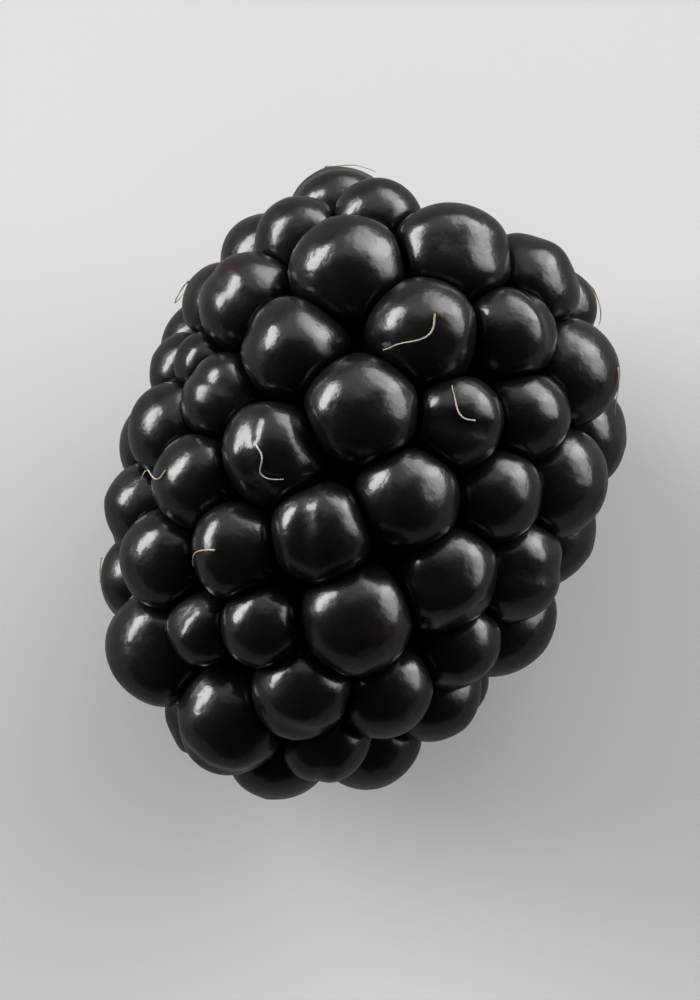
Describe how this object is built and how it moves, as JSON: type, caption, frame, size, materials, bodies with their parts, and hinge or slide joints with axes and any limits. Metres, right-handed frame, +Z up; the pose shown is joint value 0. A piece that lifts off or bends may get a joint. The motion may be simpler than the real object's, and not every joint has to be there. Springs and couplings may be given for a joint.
{
  "type": "bramble berry",
  "caption": "Ripe black bramble berry, picked without its stalk and lying on its side: plump drupelets grown together into a blunt oval, with a dished scar at the stalk end.",
  "frame": {"origin": "the middle of the footprint, on the surface that the berry lies on", "axes": "+Z up; the berry's own axis runs along Y, with its tip towards -Y and its stalk end towards +Y"},
  "size_m": [0.0212, 0.0278, 0.0214],
  "materials": {
    "drupelet_skin": "near-black skin with a tight natural gloss and a faint purple-red cast",
    "receptacle": "pale green-white fibrous flesh of the scar, matt and slightly moist",
    "withered_style": "dry straw-coloured threads, matt"
  },
  "bodies": {
    "root": {"berry": "drupelet_skin"}
  },
  "joints": []
}
